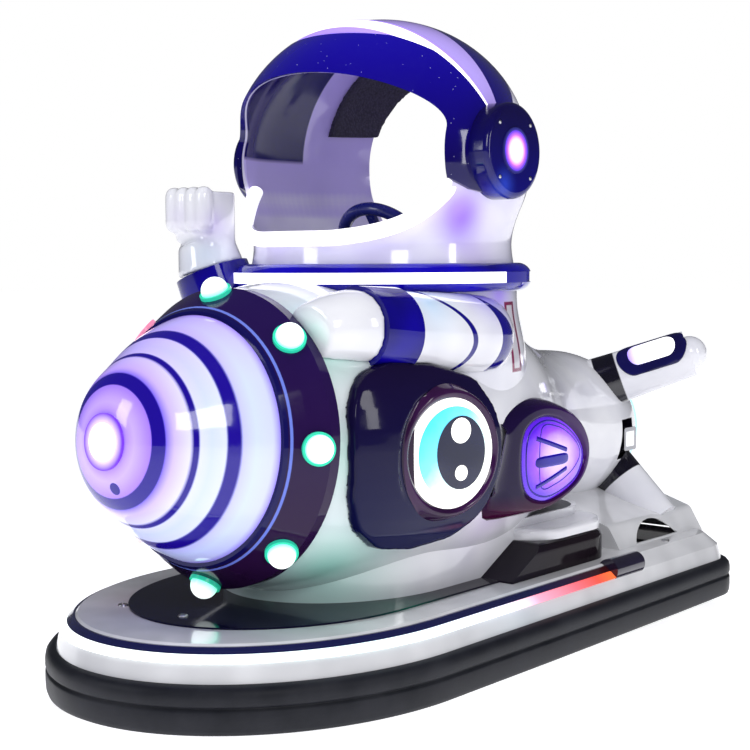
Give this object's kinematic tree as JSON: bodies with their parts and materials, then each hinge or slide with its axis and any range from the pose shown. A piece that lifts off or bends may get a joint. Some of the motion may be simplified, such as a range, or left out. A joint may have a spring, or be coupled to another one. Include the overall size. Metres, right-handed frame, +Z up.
{
  "type": "ride-on astronaut rocket bumper car",
  "caption": "Fairground bumper car: a rocket with big side eyes on an oval bumper base, driven from inside an astronaut's torso and helmet.",
  "frame": {"origin": "on the floor under the middle of the bumper ring", "axes": "+X towards the car's left side, +Y towards its tail, +Z up; the rocket's nose points along -Y"},
  "size_m": [0.92, 1.906, 1.5049],
  "materials": {
    "bumper": "satin moulded bumper ring",
    "base_body": "smooth grey shell",
    "base_light": "lit strip, white to orange",
    "base_trim": "dark trim",
    "strip_caps": "dark end caps",
    "deck": "dark plinth",
    "rocket_body": "white moulded shell",
    "nose_dome": "milky lit dome with blue rings",
    "collar": "glossy navy",
    "nose_ring": "violet ring",
    "nose_lamp": "white lamp",
    "lamp_cups": "pale cups",
    "ball_lamps": "milky ball lamps",
    "eye_housing": "navy housing",
    "eye_white": "white lit disc",
    "eye_iris": "cyan lit disc",
    "eye_pupil": "dark disc",
    "pod_rim": "plum rim",
    "pod_lens": "pale lilac window",
    "fin": "white moulded fin",
    "fin_frame": "navy frame",
    "fin_lamp": "white window lamp",
    "lower_fin": "dark strut",
    "tail_lamp": "square lamp in a bright bezel",
    "exhaust_rim": "bright cyan rim",
    "exhaust_lens": "pale lilac dome",
    "suit": "white moulded shell",
    "helmet": "white moulded shell, lilac inside",
    "visor": "glossy navy visor",
    "ear_pod": "navy ear pod",
    "helmet_light": "lit strip",
    "ear_lamp": "pink-white lamp with a violet ring",
    "belt": "navy belt",
    "belt_light": "lit strip",
    "face_tube": "white rolled edge",
    "sleeve": "white sleeves with navy rings",
    "cuff": "navy cuffs",
    "glove": "white gloves",
    "seat_box": "grey box",
    "cushion": "black padded cushion",
    "head_pad": "black padded pads",
    "battery": "sealed battery case",
    "floor_mat": "ribbed mat",
    "steering_post": "black paint",
    "console": "dark moulded console",
    "steering_rim": "blue-navy moulded wheel",
    "shaft": "bright steel",
    "chassis": "black paint",
    "fork": "black paint",
    "wheel_hub": "grey paint",
    "tyre": "solid rubber tyre"
  },
  "bodies": {
    "car": {"bumper_ring": "bumper", "base_shell": "base_body", "base_light_strip": "base_light", "base_trim_strip": "base_trim", "strip_end_caps": "strip_caps", "deck_plinth": "deck", "rocket_shell": "rocket_body", "nose_dome": "nose_dome", "collar_ring": "collar", "nose_lamp_ring": "nose_ring", "nose_lamp": "nose_lamp", "collar_lamp_cups": "lamp_cups", "collar_lamps": "ball_lamps", "eye_housings": "eye_housing", "eye_lamps": "eye_white", "eye_irises": "eye_iris", "eye_pupils": "eye_pupil", "side_pods": "pod_rim", "pod_lenses": "pod_lens", "upper_fins": "fin", "fin_lamp_frames": "fin_frame", "fin_lamps": "fin_lamp", "lower_fins": "lower_fin", "tail_lamps": "tail_lamp", "exhaust_ring": "exhaust_rim", "exhaust_dome": "exhaust_lens", "torso_shell": "suit", "helmet_shell": "helmet", "helmet_visor": "visor", "ear_pods": "ear_pod", "helmet_light_strip": "helmet_light", "ear_lamps": "ear_lamp", "belt_ring": "belt", "belt_light": "belt_light", "face_tube": "face_tube", "sleeves": "sleeve", "cuffs": "cuff", "gloves": "glove", "seat_box": "seat_box", "seat_cushion": "cushion", "head_pads": "head_pad", "battery_pack": "battery", "floor_mat": "floor_mat", "steering_post": "steering_post", "dash_console": "console", "chassis_frame": "chassis", "rear_axle": "shaft"},
    "steering": {"steering_wheel": "steering_rim", "steering_shaft": "shaft"},
    "fork": {"drive_fork": "fork"},
    "drive_wheel": {"drive_wheel_hub": "wheel_hub", "drive_wheel_tyre": "tyre"},
    "rear_wheel_left": {"rear_wheel_left_hub": "wheel_hub", "rear_wheel_left_tyre": "tyre"},
    "rear_wheel_right": {"rear_wheel_right_hub": "wheel_hub", "rear_wheel_right_tyre": "tyre"}
  },
  "joints": [
    {"name": "fork_turn", "type": "hinge", "parent": "car", "child": "fork", "pos_m": [0, -0.47, 0.15], "axis": [0, 0, 1], "range_deg": [-35, 35]},
    {"name": "steering_turn", "type": "hinge", "parent": "car", "child": "steering", "pos_m": [0, -0.034, 0.966], "axis": [0, 0.8192, 0.5736], "range_deg": [-105, 105]},
    {"name": "drive_wheel_spin", "type": "hinge", "parent": "fork", "child": "drive_wheel", "pos_m": [0, -0.47, 0.078], "axis": [1, 0, 0], "continuous": true},
    {"name": "rear_wheel_left_spin", "type": "hinge", "parent": "car", "child": "rear_wheel_left", "pos_m": [0.3, 0.6, 0.078], "axis": [1, 0, 0], "continuous": true},
    {"name": "rear_wheel_right_spin", "type": "hinge", "parent": "car", "child": "rear_wheel_right", "pos_m": [-0.3, 0.6, 0.078], "axis": [1, 0, 0], "continuous": true}
  ],
  "couplings": [
    {"joint": "steering_turn", "follows": "fork_turn", "ratio": 3}
  ]
}
